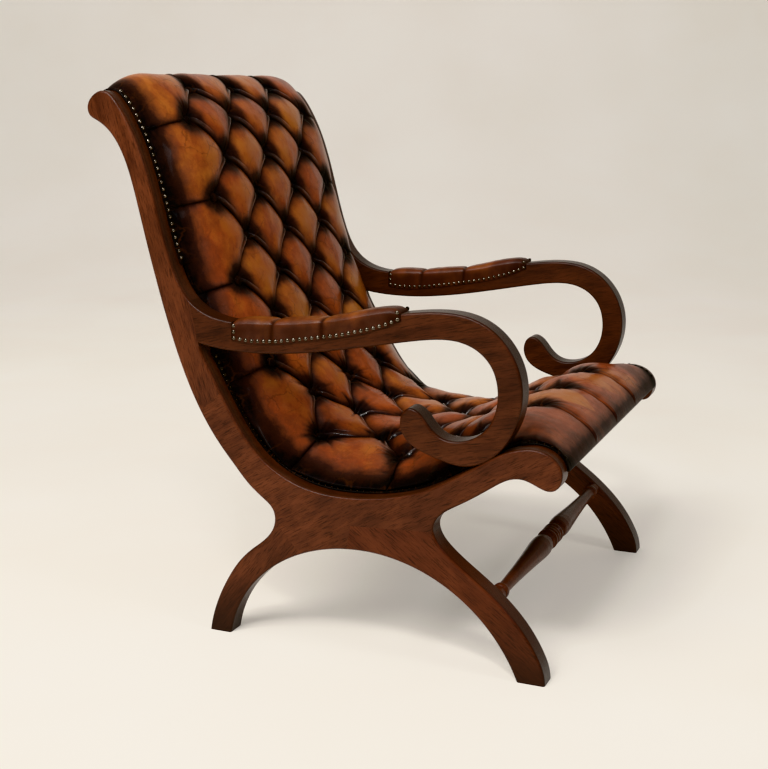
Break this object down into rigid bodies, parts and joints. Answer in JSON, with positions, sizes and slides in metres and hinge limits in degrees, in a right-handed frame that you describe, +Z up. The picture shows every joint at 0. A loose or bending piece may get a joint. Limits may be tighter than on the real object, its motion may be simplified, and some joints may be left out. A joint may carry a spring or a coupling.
{
  "type": "deep-buttoned X-frame library chair",
  "caption": "Low open armchair with arched X side frames, scrolled padded arms, turned front stretcher and deep-buttoned leather seat and back.",
  "frame": {"origin": "centre of the footprint's bounding box, on the floor under the four feet", "axes": "+X to the chair's left (the sitter's left), +Y to the back, -Y to the front, +Z up; the chair is mirror symmetric about the YZ plane"},
  "size_m": [0.6786, 0.7908, 0.8896],
  "materials": {
    "frame_wood": "satin dark red-brown mahogany",
    "hidden_wood": "plain sawn beech",
    "back_seat_leather": "antiqued tan, semi-gloss",
    "pad_leather": "antiqued tan, semi-gloss",
    "outside_leather": "antiqued tan, semi-gloss",
    "nail_brass": "dark antique",
    "webbing_cloth": "woven jute",
    "hessian_cloth": "woven jute",
    "stuffing_fibre": "matted fibre",
    "twine_cord": "waxed cord",
    "dust_cloth": "black cotton"
  },
  "bodies": {
    "root": {"arm_left": "frame_wood", "arm_pad_leather_left": "pad_leather", "arm_pad_leather_right": "pad_leather", "arm_pad_nails_left": "nail_brass", "arm_pad_nails_right": "nail_brass", "arm_pad_stuffing_left": "stuffing_fibre", "arm_pad_stuffing_right": "stuffing_fibre", "arm_right": "frame_wood", "back_buttons": "back_seat_leather", "back_leather": "back_seat_leather", "back_stile_left": "frame_wood", "back_stile_right": "frame_wood", "back_stuffing": "stuffing_fibre", "button_ties": "twine_cord", "cross_rail_dowels": "hidden_wood", "dust_cover": "dust_cloth", "edge_nails_left": "nail_brass", "edge_nails_right": "nail_brass", "frame_dowels": "hidden_wood", "front_cross_rail": "hidden_wood", "front_leg_left": "frame_wood", "front_leg_right": "frame_wood", "front_stretcher": "frame_wood", "hessian": "hessian_cloth", "lumbar_rail": "hidden_wood", "outside_back": "outside_leather", "outside_back_nails": "nail_brass", "rear_leg_left": "frame_wood", "rear_leg_right": "frame_wood", "seat_back_rail": "hidden_wood", "seat_buttons": "back_seat_leather", "seat_cross_rail": "hidden_wood", "seat_leather": "back_seat_leather", "seat_rail_left": "frame_wood", "seat_rail_right": "frame_wood", "seat_stuffing": "stuffing_fibre", "top_cross_rail": "hidden_wood", "upper_back_rail": "hidden_wood", "webbing": "webbing_cloth"}
  },
  "joints": []
}
